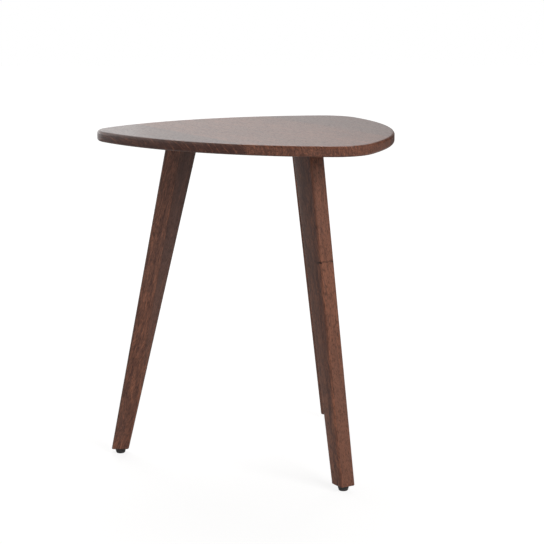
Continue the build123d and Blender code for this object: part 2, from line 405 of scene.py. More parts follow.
def place_in_grain(tree, place, layer, layer_size, stack, first, pith, pith_depth, seed):
    """A point's place in the grain in mm: along it, out from the pith and round the pith. The grain wanders
    some mm as it runs along, and each layer is cut from a place of its own in the log."""
    whole = add_node(tree, "ShaderNodeMath", (layer,), operation="FLOOR")[0]
    own = add_node(tree, "ShaderNodeTexWhiteNoise", {"W": whole}, noise_dimensions="1D")["Value"]
    bend = add_node(tree, "ShaderNodeVectorMath", (place, BEND_SIZE), operation="DIVIDE")[0]
    inputs = {"Vector": bend, "W": seed, "Scale": 1.0, "Detail": 1.0}
    bend = add_node(tree, "ShaderNodeTexNoise", inputs, noise_dimensions="4D")["Color"]
    bent = add_node(tree, "ShaderNodeVectorMath", (bend, BEND_REACH, place), operation="MULTIPLY_ADD")[0]
    start = add_node(tree, "ShaderNodeMath", (first, whole), operation="SUBTRACT")[0]
    start = add_node(tree, "ShaderNodeMath", (start, layer_size), operation="MULTIPLY")[0]
    start = add_node(tree, "ShaderNodeVectorMath", {0: stack, "Scale": start}, operation="SCALE")[0]
    bent = add_node(tree, "ShaderNodeVectorMath", (bent, start), operation="ADD")[0]
    off_pith = add_node(tree, "ShaderNodeVectorMath", (bent, pith), operation="SUBTRACT")[0]
    off_pith = add_node(tree, "ShaderNodeSeparateXYZ", (off_pith,))
    inputs = (own, SHIFT_ACROSS, off_pith["Y"])
    across = add_node(tree, "ShaderNodeMath", inputs, operation="MULTIPLY_ADD")[0]
    inputs = (pith_depth, PITH_DEPTH, off_pith["Z"])
    above = add_node(tree, "ShaderNodeMath", inputs, operation="MULTIPLY_ADD")[0]
    squared = add_node(tree, "ShaderNodeMath", (above, above), operation="MULTIPLY")[0]
    squared = add_node(tree, "ShaderNodeMath", (across, across, squared), operation="MULTIPLY_ADD")[0]
    outwards = add_node(tree, "ShaderNodeMath", (squared, 0.5), operation="POWER")[0]
    turn = add_node(tree, "ShaderNodeMath", (above, across), operation="ARCTAN2")[0]
    round_pith = add_node(tree, "ShaderNodeMath", (turn, TURN_RADIUS), operation="MULTIPLY")[0]
    along = add_node(tree, "ShaderNodeSeparateXYZ", (place,))["X"]
    along = add_node(tree, "ShaderNodeMath", (own, SHIFT_ALONG, along), operation="MULTIPLY_ADD")[0]
    return along, outwards, round_pith


def grain_patterns(tree, grain_place, tone, seed):
    """The grain's patterns, and the tone that they move, from 0, deep, to 1, light. A pattern is a noise
    stretched to its sizes along the grain, outwards and round, and moves the tone by its weight."""
    grain_place = add_node(tree, "ShaderNodeCombineXYZ", grain_place)[0]
    patterns = {}
    for pattern, (*size, slope, weight) in GRAIN.items():
        inputs = {"Vector": grain_place, "Rotation": (0, slope, slope), "Scale": size}
        stretched = add_node(tree, "ShaderNodeMapping", inputs, vector_type="TEXTURE")["Vector"]
        inputs = {"Vector": stretched, "W": seed + len(patterns), "Scale": 1.0, "Detail": 3.0}
        noise = add_node(tree, "ShaderNodeTexNoise", inputs, noise_dimensions="4D")["Fac"]
        swing = add_node(tree, "ShaderNodeMath", (noise, 0.5), operation="SUBTRACT")[0]
        tone = add_node(tree, "ShaderNodeMath", (swing, weight, tone), operation="MULTIPLY_ADD")[0]
        patterns[pattern] = noise
    return patterns, tone


def growth_rings(tree, outwards, band, rings, tone):
    """The tone with the growth rings: a line at even distances from the pith, pushed about by the bands."""
    ring = add_node(tree, "ShaderNodeMath", (band, RING_PUSH, outwards), operation="MULTIPLY_ADD")[0]
    ring = add_node(tree, "ShaderNodeMath", (ring, RING_SPACING), operation="DIVIDE")[0]
    ring = add_node(tree, "ShaderNodeMath", (ring, 0.5), operation="PINGPONG")[0]
    inputs = (ring, 0.0, RING_WIDTH, 1.0, 0.0)
    ring = add_node(tree, "ShaderNodeMapRange", inputs, interpolation_type="SMOOTHSTEP")["Result"]
    strength = add_node(tree, "ShaderNodeMath", (rings, RING_TONE), operation="MULTIPLY")[0]
    return add_node(tree, "ShaderNodeMath", (ring, strength, tone), operation="MULTIPLY_ADD")[0]


def edge_end_grain(tree, depth, face_gap, rings, tone, greyness):
    """Tone and greyness of the board's edge. Its end grain drinks more stain than the two faces: heartwood
    comes out deeper and less grey. It is full halfway between the faces and gone at each."""
    off_middle = add_node(tree, "ShaderNodeMath", (depth, face_gap / 2), operation="ADD")[0]
    off_middle = add_node(tree, "ShaderNodeMath", (off_middle,), operation="ABSOLUTE")[0]
    inputs = (off_middle, face_gap / 4, face_gap / 2, 1.0, 0.0)
    end_grain = add_node(tree, "ShaderNodeMapRange", inputs, interpolation_type="SMOOTHSTEP")["Result"]
    tone = add_node(tree, "ShaderNodeMath", (end_grain, END_TONE, tone), operation="MULTIPLY_ADD")[0]
    heart = add_node(tree, "ShaderNodeMath", (end_grain, rings), operation="MULTIPLY")[0]
    tone = add_node(tree, "ShaderNodeMath", (heart, HEART_TONE, tone), operation="MULTIPLY_ADD")[0]
    inputs = (heart, HEART_GREYNESS, greyness)
    return tone, add_node(tree, "ShaderNodeMath", inputs, operation="MULTIPLY_ADD")[0]


def sawn_side(tree, across, layer, side_tone, tone, greyness):
    """Tone and greyness of a leg's outer strip on the side that is sawn across the rings. It takes the stain
    deeper and less grey."""
    inputs = (across, SIDE_START, SIDE_FULL)
    side = add_node(tree, "ShaderNodeMapRange", inputs, interpolation_type="SMOOTHSTEP")["Result"]
    outer = add_node(tree, "ShaderNodeMath", (layer, 1.0), operation="LESS_THAN")[0]
    side = add_node(tree, "ShaderNodeMath", (side, outer), operation="MULTIPLY")[0]
    return (
        add_node(tree, "ShaderNodeMath", (side, side_tone, tone), operation="MULTIPLY_ADD")[0],
        add_node(tree, "ShaderNodeMath", (side, side_tone, greyness), operation="MULTIPLY_ADD")[0],
    )


def finger_joint(tree, axes, joint, tone, glue):
    """Tone and glued joints with a finger joint: a shallow zigzag across the outer strip, with another piece
    of wood below it."""
    zigzag = add_node(tree, "ShaderNodeMath", (axes["Y"], FINGER_WIDTH), operation="PINGPONG")[0]
    zigzag = add_node(tree, "ShaderNodeMath", (zigzag, FINGER_SLOPE, joint), operation="MULTIPLY_ADD")[0]
    above = add_node(tree, "ShaderNodeMath", (axes["X"], zigzag), operation="SUBTRACT")[0]
    inputs = (axes["Z"], FINGER_START, FINGER_FULL)
    outer = add_node(tree, "ShaderNodeMapRange", inputs, interpolation_type="SMOOTHSTEP")["Result"]
    below = add_node(tree, "ShaderNodeMath", (above, 0.0), operation="LESS_THAN")[0]
    below = add_node(tree, "ShaderNodeMath", (below, outer), operation="MULTIPLY")[0]
    tone = add_node(tree, "ShaderNodeMath", (below, LOWER_TONE, tone), operation="MULTIPLY_ADD")[0]
    off_line = add_node(tree, "ShaderNodeMath", (above,), operation="ABSOLUTE")[0]
    inputs = (off_line, FINGER_DARK, FINGER_GONE, FINGER_SHADE, 0.0)
    seam = add_node(tree, "ShaderNodeMapRange", inputs, interpolation_type="SMOOTHSTEP")["Result"]
    seam = add_node(tree, "ShaderNodeMath", (seam, outer), operation="MULTIPLY")[0]
    return tone, add_node(tree, "ShaderNodeMath", (glue, seam), operation="MAXIMUM")[0]


def stain_and_lacquer(tree, shader, look, patterns, tone, greyness, glue):
    """Gives the wood the stain's colour of its tone, greyed, and satin lacquer over it."""
    stops = ((DEEP, look.stain_deep), (MIDDLE, look.stain_middle), (LIGHT, look.stain_light))
    warm = add_node(tree, "ShaderNodeValToRGB", (tone,), stops=stops)["Color"]
    inputs = (patterns["cloud"], CLOUD_GREYNESS, -CLOUD_GREYNESS / 2)
    clouds = add_node(tree, "ShaderNodeMath", inputs, operation="MULTIPLY_ADD")[0]
    greyness = add_node(tree, "ShaderNodeMath", (greyness, clouds), operation="ADD")[0]
    inputs = {"Factor": greyness, MIX_FROM: warm, MIX_TO: look.stain_grey}
    stained = add_node(tree, "ShaderNodeMix", inputs, data_type="RGBA")[MIX_RESULT]
    # Pores take up more stain than the wood between them, and so do the glued joints
    inputs = (patterns["pore"], PORE_START, PORE_FULL)
    pore = add_node(tree, "ShaderNodeMapRange", inputs, interpolation_type="SMOOTHSTEP")["Result"]
    shade = add_node(tree, "ShaderNodeMath", (pore, PORE_SHADE, WOOD_SHADE), operation="MULTIPLY_ADD")[0]
    shade = add_node(tree, "ShaderNodeMath", (glue, GLUE_SHADE, shade), operation="MULTIPLY_ADD")[0]
    colour = add_node(tree, "ShaderNodeVectorMath", {0: stained, "Scale": shade}, operation="SCALE")[0]
    tree.links.new(colour, shader.inputs["Base Color"])
    # Satin lacquer sinks a little over the pores
    inputs = (pore, PORE_ROUGHNESS, look.lacquer_roughness)
    roughness = add_node(tree, "ShaderNodeMath", inputs, operation="MULTIPLY_ADD")[0]
    tree.links.new(roughness, shader.inputs["Roughness"])
    inputs = (patterns["fibre"], patterns["fleck"])
    height = add_node(tree, "ShaderNodeMath", inputs, operation="ADD")[0]
    height = add_node(tree, "ShaderNodeMath", (pore, -1.0, height), operation="MULTIPLY_ADD")[0]
    inputs = {"Height": height, "Strength": RELIEF_STRENGTH, "Distance": RELIEF_HEIGHT * MM}
    tree.links.new(add_node(tree, "ShaderNodeBump", inputs)["Normal"], shader.inputs["Normal"])
    shader.inputs["IOR"].default_value = LACQUER_IOR


def stained_wood(name, look, origin, along, outward, layers, layer_size, stack, pith, seed, slant=0.0,
                 first=0.0, face_gap=0.0, side_tone=0.0, heart=None, joint=0.0):
    """Rubberwood, sanded, wiped with a walnut stain and sprayed with satin lacquer. To the eye it is an even
    brown with fine, broken streaks and short dark pores, strips of which are greyer, under a soft sheen.

    Layers are the staves of the board or the strips of a leg, stacked along y or z of the wood's own axes.
    Each has its tone, its greyness, the strength of its growth rings and the depth of its pith, and the
    grain's patterns lie in rings about that pith. Only a board has a slant of its layers, layers before the
    origin and a gap between its faces, and only a leg has a side sawn across the rings, a stretch over which
    heartwood starts and a finger joint some way up. Lengths are in mm.
    """
    material, tree, shader = new_material(name)
    place = wood_axes(tree, origin, along, outward)
    axes = add_node(tree, "ShaderNodeSeparateXYZ", (place,))
    up = Vector(stack) + Vector((0, 0, slant))
    layer, ramp, glue = wood_layers(tree, place, layers, layer_size, up, first)
    pith_depth, rules = ramp["Alpha"], ramp["Color"]
    if heart:
        # Heartwood: the inner strip departs from the outer one's tone on the way up the leg
        inputs = (axes["X"], *heart)
        risen = add_node(tree, "ShaderNodeMapRange", inputs, interpolation_type="SMOOTHSTEP")["Result"]
        inputs = {"Factor": risen, MIX_FROM: layers[0], MIX_TO: rules}
        rules = add_node(tree, "ShaderNodeMix", inputs, data_type="RGBA")[MIX_RESULT]
    tone, greyness, rings = add_node(tree, "ShaderNodeSeparateColor", (rules,))
    grain_place = place_in_grain(tree, place, layer, layer_size, stack, first, pith, pith_depth, seed)
    patterns, tone = grain_patterns(tree, grain_place, tone, seed)
    tone = growth_rings(tree, grain_place[1], patterns["band"], rings, tone)
    if face_gap:
        tone, greyness = edge_end_grain(tree, axes["Z"], face_gap, rings, tone, greyness)
    if side_tone:
        tone, greyness = sawn_side(tree, axes["Y"], layer, side_tone, tone, greyness)
    if joint:
        tone, glue = finger_joint(tree, axes, joint, tone, glue)
    stain_and_lacquer(tree, shader, look, patterns, tone, greyness, glue)
    return material


# Noise keeps mostly to this middle of its range, which is stretched to the whole swing of a hard finish
NOISE_LOW, NOISE_HIGH = 0.3, 0.7
# Strength of the relief of a hard finish
HARD_RELIEF = 0.3


def plain_finish(name, colour, metallic, roughness, grain_size, swing, bump_height):
    """A hard, even material whose tone and gloss drift a little: a noise of the given size in mm moves the
    colour and the roughness by a share, and raises the surface by the bump's height in mm."""
    material, tree, shader = new_material(name)
    place = add_node(tree, "ShaderNodeTexCoord")["Object"]
    inputs = {"Vector": place, "Scale": 1 / (grain_size * MM), "Detail": 4.0}
    noise = add_node(tree, "ShaderNodeTexNoise", inputs)["Fac"]
    inputs = (noise, NOISE_LOW, NOISE_HIGH, 1 - swing, 1 + swing)
    drift = add_node(tree, "ShaderNodeMapRange", inputs)["Result"]
    tint = add_node(tree, "ShaderNodeVectorMath", {0: colour[:3], "Scale": drift}, operation="SCALE")[0]
    tree.links.new(tint, shader.inputs["Base Color"])
    gloss = add_node(tree, "ShaderNodeMath", (drift, roughness), operation="MULTIPLY")[0]
    tree.links.new(gloss, shader.inputs["Roughness"])
    inputs = {"Height": noise, "Strength": HARD_RELIEF, "Distance": bump_height * MM}
    tree.links.new(add_node(tree, "ShaderNodeBump", inputs)["Normal"], shader.inputs["Normal"])
    shader.inputs["Metallic"].default_value = metallic
    return material


# The board's grain runs from the back on the left to the front leg. The staves, from the left corner to the
# rear one: tone, greyness, strength of the growth rings, and depth of the pith under the face as a share of
# PITH_DEPTH
GRAIN_BEARING = LEG_BEARINGS["front"]
STAVES = (
    (0.34, 0.60, 0.8, 0.42),
    (0.30, 0.50, 1.0, 0.36),
    (0.54, 0.05, 0.2, 0.16),
    (0.52, 0.10, 0.15, 0.20),
    (0.55, 0.05, 0.2, 0.14),
    (0.51, 0.10, 0.15, 0.18),
    (0.38, 0.50, 0.6, 0.30),
    (0.40, 0.50, 0.6, 0.24),
)
# How many of the staves lie between the left corner's side and the table's axis, how far their glued joints
# lean, where a stave's pith is beside its near joint, in mm, and where the noise of its grain starts
STAVES_BEFORE_AXIS, STAVE_LEAN, BOARD_PITH, BOARD_SEED = 3.763, 0.36, (0, -45, 0), 3.0
# Each leg's outer and inner strip in the same way, then how deep the outer strip is and how far up it its
# finger joint is, in mm
STRIPS = {
    "left": (((0.48, 0.12, 0.15, 0.0), (0.32, 0.65, 0.15, 0.1)), 21.0, 0.0),
    "front": (((0.78, 0.30, 0.1, 0.0), (0.42, 0.40, 0.15, 0.1)), 12.0, 290.5),
    "rear": (((0.50, 0.15, 0.15, 0.0), (0.50, 0.15, 0.15, 0.1)), 21.0, 131.0),
}
# A strip's pith, beside its outer face's middle line and out of it, and the stretch of the leg's length over
# which the inner strip departs from the outer one, in mm; the tone of the side sawn across the rings; and
# the degrees of bearing to one step of the noise, so that no two legs have the same grain
LEG_PITH, HEART_STRETCH, SAWN_SIDE_TONE, DEGREES_A_SEED = (0, -28, 20), (60, 330), -0.42, 13


def board_outline(sizes):
    """Outline of the board, column by column: the centre, the radius and the direction from the centre. Each
    point is its centre plus its radius times its direction, so a smaller radius gives the same outline
    further in. The three corner arcs are centred on their corners' bearings, and the three side arcs on the
    far side of the axis, as far away as makes each arc run into the next."""
    corner_centre = sizes.corner_reach - sizes.corner_radius
    centre_gap = sizes.side_radius - sizes.corner_radius
    side_centre = (math.sqrt(4 * centre_gap**2 - 3 * corner_centre**2) - corner_centre) / 2
    sine, cosine = math.sin(THIRD_TURN / 2), math.cos(THIRD_TURN / 2)
    half_side = math.atan2(corner_centre * sine, corner_centre * cosine + side_centre)
    half_corner = THIRD_TURN / 2 - half_side
    corner_steps, side_steps = 36, 82
    centres, radii, angles = [], [], []
    for number in range(3):
        bearing = math.pi + number * THIRD_TURN
        for reach, radius, middle_angle, half, steps in (
            (corner_centre, sizes.corner_radius, bearing, half_corner, corner_steps),
            (-side_centre, sizes.side_radius, bearing + THIRD_TURN / 2, half_side, side_steps),
        ):
            angle = np.linspace(middle_angle - half, middle_angle + half, steps, endpoint=False)
            centre = (AXIS.x + reach * math.cos(middle_angle), reach * math.sin(middle_angle))
            centres.append(np.tile(centre, (steps, 1)))
            radii.append(np.full(steps, radius))
            angles.append(angle)
    angles = np.concatenate(angles)
    return np.vstack(centres), np.concatenate(radii), np.column_stack((np.cos(angles), np.sin(angles)))


def board_rings(sizes):
    """Rings of the board. A ring is the outline set in by a distance, drawn towards the axis by a share, at a
    height: the shares close both flat faces, and quarter circles of distance and height round both edges."""
    centre, radius, direction = board_outline(sizes)
    rounding, inner_share, steps, flat_margin = sizes.board_rounding, (0.25, 0.5, 0.75, 0.93), 10, 0.6 * MM
    flat_rings = len(inner_share) + 2
    lower = arc((-rounding, UNDERSIDE + rounding), rounding, -90, 0, steps)
    upper = arc((-rounding, TABLE_HEIGHT - rounding), rounding, 0, 90, steps)
    edge = np.vstack((lower, upper))
    flat_inset = [rounding + flat_margin] * flat_rings
    inset = np.concatenate((flat_inset, -edge[:, 0], flat_inset))
    share = np.concatenate(((0,), inner_share, (1,), np.ones(len(edge)), (1,), inner_share[::-1], (0,)))
    height = np.concatenate(([UNDERSIDE] * flat_rings, edge[:, 1], [TABLE_HEIGHT] * flat_rings))
    outline = centre + (radius - inset[:, None])[..., None] * direction
    pole = np.array(AXIS.xy)
    outline = pole + share[:, None, None] * (outline - pole)
    return np.dstack((outline, np.broadcast_to(height[:, None], outline.shape[:2])))


def leg_rings(sizes, bearing):
    """Rings of a leg. A ring is a rectangle with rounded corners, as deep as the two sloping faces leave it
    at its height. Round the foot, the rings are set in by a quarter circle."""
    steps, corner_steps, body_steps = 6, 8, 11
    outward = np.linspace(0, math.pi / 2, steps + 1)
    inset = sizes.foot_rounding * (1 - np.sin(outward))
    height = GLIDE_TOP + sizes.foot_rounding * (1 - np.cos(outward))
    body = np.linspace(height[-1], UNDERSIDE, body_steps + 1)[1:]
    height = np.concatenate(([GLIDE_TOP], height, body, [UNDERSIDE]))
    inset = np.concatenate(([sizes.foot_rounding], inset, np.zeros(len(body) + 1)))
    share = (height - GLIDE_TOP) / (UNDERSIDE - GLIDE_TOP)
    outer = sizes.leg_foot_reach + share * (sizes.leg_top_reach - sizes.leg_foot_reach)
    depth = sizes.leg_foot_depth + share * (sizes.leg_top_depth - sizes.leg_foot_depth)
    corner = np.radians(np.linspace(0, 90, corner_steps + 1))
    angle = np.concatenate([corner + turn * math.pi / 2 for turn in range(4)])
    out_side = np.repeat((1.0, -1.0, -1.0, 1.0), corner_steps + 1)
    left_side = np.repeat((1.0, 1.0, -1.0, -1.0), corner_steps + 1)
    rounding = sizes.leg_rounding - inset
    half_depth, half_width = depth / 2 - inset, sizes.leg_width / 2 - inset
    reach = (outer - depth / 2)[:, None] + out_side * (half_depth - rounding)[:, None]
    reach = reach + rounding[:, None] * np.cos(angle)
    across = left_side * (half_width - rounding)[:, None] + rounding[:, None] * np.sin(angle)
    closed = np.ones(len(height))
    closed[[0, -1]] = 0
    middle_reach = (outer - depth / 2)[:, None]
    reach = middle_reach + closed[:, None] * (reach - middle_reach)
    across = closed[:, None] * across
    turn = math.radians(bearing)
    x = AXIS.x + reach * math.cos(turn) - across * math.sin(turn)
    y = reach * math.sin(turn) + across * math.cos(turn)
    return np.dstack((x, y, np.broadcast_to(height[:, None], x.shape)))


def screw_rings(sizes, place):
    """Rings of a socket screw, head down. The radius is a function of height and angle: a hexagon's in the
    socket, the head's with a ripple of knurls, and the shank's less a triangle wave of height over pitch less
    angle over a full turn, which is the thread."""
    columns = sizes.knurl_count * 4
    angle = np.linspace(0, 2 * np.pi, columns, endpoint=False)
    hexagon = sizes.socket_width / 2 / np.cos((angle + math.pi / 6) % (math.pi / 3) - math.pi / 6)
    knurl = 1 - np.abs(2 * (angle * sizes.knurl_count / (2 * np.pi) % 1) - 1)
    round_ring = np.ones(columns)
    head, socket_depth, knurl_depth, chamfer = 5 * MM, 3 * MM, 0.22 * MM, 0.5 * MM
    neck, thread_depth, tip_chamfer = 0.3 * MM, 0.55 * MM, 0.8 * MM
    neck_share, shank_share = 0.92, 0.98
    rings_a_turn, run_in_turns = 6, 2
    thread_foot = SCREW_TIP - sizes.thread_length
    thread_height = np.arange(thread_foot, SCREW_TIP - tip_chamfer, sizes.thread_pitch / rings_a_turn)
    phase = (thread_height[:, None] / sizes.thread_pitch - angle / (2 * np.pi)) % 1
    run_in = np.clip((thread_height - thread_foot) / (run_in_turns * sizes.thread_pitch), 0, 1)[:, None]
    thread = sizes.screw_radius - thread_depth * run_in * (1 - np.abs(2 * phase - 1))
    rings = [
        (SCREW_FOOT + socket_depth, 0 * round_ring),
        (SCREW_FOOT + socket_depth, hexagon),
        (SCREW_FOOT, hexagon),
        (SCREW_FOOT, (head - chamfer) * round_ring),
        (SCREW_FOOT + chamfer, head - knurl_depth * (1 - knurl)),
        (SCREW_SEAT - chamfer, head - knurl_depth * (1 - knurl)),
        (SCREW_SEAT, (head - chamfer / 2) * round_ring),
        (SCREW_SEAT, (sizes.screw_radius + neck) * round_ring * neck_share),
        (SCREW_SEAT + neck, sizes.screw_radius * round_ring * shank_share),
        *zip(thread_height, thread),
        (SCREW_TIP, (sizes.screw_radius - tip_chamfer) * round_ring),
        (SCREW_TIP, 0 * round_ring),
    ]
    height = np.array([ring[0] for ring in rings])[:, None]
    radius = np.array([ring[1] for ring in rings])
    x, y = place.x + radius * np.cos(angle), place.y + radius * np.sin(angle)
    return np.dstack((x, y, np.broadcast_to(height, x.shape)))


class SIDETABLE_OT_board(bpy.types.Operator):
    """Add the board, glued up from staves, with the holes for its inserts and dowels"""

    bl_idname = "side_table.board"
    bl_label = "Board"

    def execute(self, context):
        sizes, look = context.scene.side_table_sizes, context.scene.side_table_finish
        board = add_piece("board", board_rings(sizes))
        holes = []
        for bearing in LEG_BEARINGS.values():
            for reach, radius, roof in (
                (BOLT_REACH, INSERT_RADIUS + FIT, INSERT_TIP + HOLE_END_GAP),
                (DOWEL_REACH, DOWEL_RADIUS + FIT, DOWEL_TIP + HOLE_END_GAP),
            ):
                below = UNDERSIDE - REACH_OUT
                profile = ((0, below), (radius, below), (radius, roof), (0, roof))
                holes.append(turned(profile, spot(reach, bearing), HOLE_COLUMNS))
        bore(board, *holes)
        wood = stained_wood(
            "stained_rubberwood_board",
            look,
            origin=(0, 0, TABLE_HEIGHT),
            along=spot(1, GRAIN_BEARING) - spot(0, GRAIN_BEARING),
            outward=(0, 0, 1),
            layers=STAVES,
            layer_size=sizes.stave_width / MM,
            stack=(0, 1, 0),
            pith=BOARD_PITH,
            seed=BOARD_SEED,
            slant=STAVE_LEAN,
            first=STAVES_BEFORE_AXIS,
            face_gap=(TABLE_HEIGHT - UNDERSIDE) / MM,
        )
        finish_piece(board, wood, "stained_board", SHARP_ANGLE, "table_top")
        return {"FINISHED"}


class SIDETABLE_OT_legs(bpy.types.Operator):
    """Add the three legs, each glued from two strips, with the pocket and the holes for their fittings"""

    bl_idname = "side_table.legs"
    bl_label = "Legs"

    def execute(self, context):
        sizes, look = context.scene.side_table_sizes, context.scene.side_table_finish
        pocket, clear_hole = 6.5 * MM, 3.4 * MM
        top_inner = sizes.leg_top_reach - sizes.leg_top_depth
        foot_inner = sizes.leg_foot_reach - sizes.leg_foot_depth
        inner_slope = (foot_inner - top_inner) / (UNDERSIDE - GLIDE_TOP)
        mouth = UNDERSIDE - (BOLT_REACH + pocket - top_inner) / inner_slope - REACH_OUT
        below, above = GLIDE_TOP - REACH_OUT, UNDERSIDE + REACH_OUT
        dowel, dowel_floor = DOWEL_RADIUS + FIT, DOWEL_FOOT - HOLE_END_GAP
        nail, nail_roof = NAIL_RADIUS + FIT, NAIL_TIP + FIT
        stepped = (
            (0, mouth), (pocket, mouth), (pocket, POCKET_ROOF),
            (clear_hole, POCKET_ROOF), (clear_hole, above), (0, above),
        )
        blind = ((0, dowel_floor), (dowel, dowel_floor), (dowel, above), (0, above))
        driven = ((0, below), (nail, below), (nail, nail_roof), (0, nail_roof))
        for side, bearing in LEG_BEARINGS.items():
            leg = add_piece(f"leg_{side}", leg_rings(sizes, bearing))
            bore(
                leg,
                turned(stepped, spot(BOLT_REACH, bearing), HOLE_COLUMNS),
                turned(blind, spot(DOWEL_REACH, bearing), HOLE_COLUMNS),
                turned(driven, spot(GLIDE_REACH, bearing), NAIL_COLUMNS),
            )
            foot = spot(sizes.leg_foot_reach, bearing, GLIDE_TOP)
            top = spot(sizes.leg_top_reach, bearing, UNDERSIDE)
            sideways = spot(1, bearing + 90) - spot(0, bearing)
            strips, strip_depth, joint = STRIPS[side]
            wood = stained_wood(
                f"stained_rubberwood_{side}_leg",
                look,
                origin=foot,
                along=top - foot,
                outward=sideways.cross(top - foot),
                layers=strips,
                layer_size=strip_depth,
                stack=(0, 0, -1),
                pith=LEG_PITH,
                seed=bearing / DEGREES_A_SEED,
                side_tone=SAWN_SIDE_TONE,
                heart=HEART_STRETCH,
                joint=joint,
            )
            finish_piece(leg, wood, "stained_leg", SHARP_ANGLE, f"{side}_leg")
        return {"FINISHED"}


class SIDETABLE_OT_glides(bpy.types.Operator):
    """Add the black plastic glides under the legs"""

    bl_idname = "side_table.glides"
    bl_label = "Glides"

    def execute(self, context):
        sizes, look = context.scene.side_table_sizes, context.scene.side_table_finish
        rim = 0.35 * MM
        slope = (sizes.glide_top_radius - sizes.glide_foot_radius) / (GLIDE_TOP - FLOOR)
        tilt = math.degrees(math.atan(slope))
        rounding = sizes.glide_rounding
        centre = sizes.glide_foot_radius + slope * rounding - rounding / math.cos(math.radians(tilt))
        foot = arc((centre, FLOOR + rounding), rounding, -90, -tilt, 8)
        rim_centre = sizes.glide_top_radius - slope * rim - rim / math.cos(math.radians(tilt))
        top = arc((rim_centre, GLIDE_TOP - rim), rim, -tilt, 90, 4)
        shank, head = NAIL_RADIUS + FIT, NAIL_HEAD_RADIUS + FIT
        head_foot, head_top = NAIL_FOOT - FIT, NAIL_FOOT + NAIL_HEAD_HEIGHT + FIT
        bored = [(shank, GLIDE_TOP), (shank, head_top), (head, head_top), (head, head_foot), (0, head_foot)]
        profile = np.vstack(([(0, FLOOR)], foot, top, bored))
        # Moulded polyethylene: near black, dull, with the fine orange peel of a cheap mould
        plastic = plain_finish(
            "black_polyethylene", look.glide_black, metallic=0.0, roughness=0.42, grain_size=0.8, swing=0.12,
            bump_height=0.05,
        )
        for side, bearing in LEG_BEARINGS.items():
            glide = add_piece(f"glide_{side}", turned(profile, spot(GLIDE_REACH, bearing), GLIDE_COLUMNS))
            finish_piece(glide, plastic, "glide_plastic", SHARP_ANGLE, f"{side}_glide")
        return {"FINISHED"}


class SIDETABLE_OT_screws(bpy.types.Operator):
    """Add the three socket screws, with their knurled heads and threads"""

    bl_idname = "side_table.screws"
    bl_label = "Screws"

    def execute(self, context):
        sizes, look = context.scene.side_table_sizes, context.scene.side_table_finish
        screws = [screw_rings(sizes, spot(BOLT_REACH, bearing)) for bearing in LEG_BEARINGS.values()]
        # Steel with bright zinc plating: pale, slightly blue, a soft shine that clouds over in patches
        steel = plain_finish(
            "zinc_plated_steel", look.zinc_plating, metallic=1.0, roughness=0.32, grain_size=2.5, swing=0.08,
            bump_height=0.02,
        )
        piece = add_piece("socket_screws", *screws)
        finish_piece(piece, steel, "zinc_steel", THREAD_SHARP_ANGLE, "leg_bolts")
        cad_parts["flat_washers"].material_slots[0].material = steel
        return {"FINISHED"}


class SIDETABLE_OT_fittings(bpy.types.Operator):
    """Give the fittings inside the joints their finish"""

    bl_idname = "side_table.fittings"
    bl_label = "Hidden fittings"

    def execute(self, context):
        look = context.scene.side_table_finish
        # Hardened and oiled: dark grey with a dull shine
        spring = plain_finish(
            "oiled_spring_steel", look.spring_steel, metallic=1.0, roughness=0.38, grain_size=3.0, swing=0.15,
            bump_height=0.02,
        )
        # Bright drawn wire: pale and shiny
        wire = plain_finish(
            "bright_nail_wire", look.nail_steel, metallic=1.0, roughness=0.25, grain_size=2.0, swing=0.06,
            bump_height=0.01,
        )
        # Die-cast zinc: grey, grainy and half dull
        cast = plain_finish(
            "die_cast_zinc", look.cast_zinc, metallic=1.0, roughness=0.48, grain_size=1.2, swing=0.12,
            bump_height=0.05,
        )
        # Raw turned beech: pale, dry and fine-grained
        beech = plain_finish(
            "raw_beech", look.dowel_beech, metallic=0.0, roughness=0.7, grain_size=1.5, swing=0.1,
            bump_height=0.05,
        )
        finishes = {"spring_washers": spring, "glide_nails": wire}
        for side in LEG_BEARINGS:
            finishes[f"{side}_insert"] = cast
            finishes[f"{side}_dowel"] = beech
        for node, material in finishes.items():
            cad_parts[node].material_slots[0].material = material
        return {"FINISHED"}


# Camera, worked out from the photograph's outlines: place in metres, turn to the right, tilt down and roll in
# radians, and the focal length on a 36 mm wide sensor
CAMERA_PLACE = (0.00375, -2.30317, 0.68823)
CAMERA_PAN, CAMERA_TILT, CAMERA_ROLL = 0.01377, 0.18595, 0.00022
FOCAL_LENGTH, SENSOR_WIDTH = 113.58, 36.0
# Lamps: place, point that they face, width and height in metres, power in watts, and whether the lacquer
# mirrors them
LAMPS = {
    "key": ((1.5, -1.85, 1.5), (0, 0, 0.3), 1.4, 1.4, 46.0, False),
    "front": ((-0.6, -2.7, 0.42), (0, 0, 0.3), 2.0, 0.7, 11.0, False),
    "overhead": ((0.0, 1.1, 2.0), (0, 0, 0.4), 1.4, 1.0, 22.5, True),
    "reflector": ((-1.15, 1.64, 0.4), (0, 0, 0.4), 2.1, 0.8, 3.8, True),
}
# Soft bright patches of the dim surroundings: the direction of the middle, the cosines off it at which the
# patch starts and is full, and its strength
SURROUNDINGS = {
    "back wall": ((-0.5, 0.866, 0.0), 0.6, 0.95, 1.16),
    "left wall": ((-1.0, 0.0, 0.0), 0.3, 0.9, 0.7),
    "right wall": ((0.85, -0.1, 0.0), 0.4, 0.95, 0.45),
}
DIM = 0.01
# Floor: half its width in metres, its colour under the lamps and the one that the camera sees shadows on, and
# the white glow that the camera sees on top, near the table and far from it, with the two distances in metres
FLOOR_HALF, FLOOR_COLOUR, SHADOW_COLOUR = 8.0, "#b5b3b1", "#8a8988"
GLOW_START, GLOW_END, NEAR_GLOW, FAR_GLOW = 0.5, 2.5, 0.83, 1.0
WHITE = (1, 1, 1, 1)


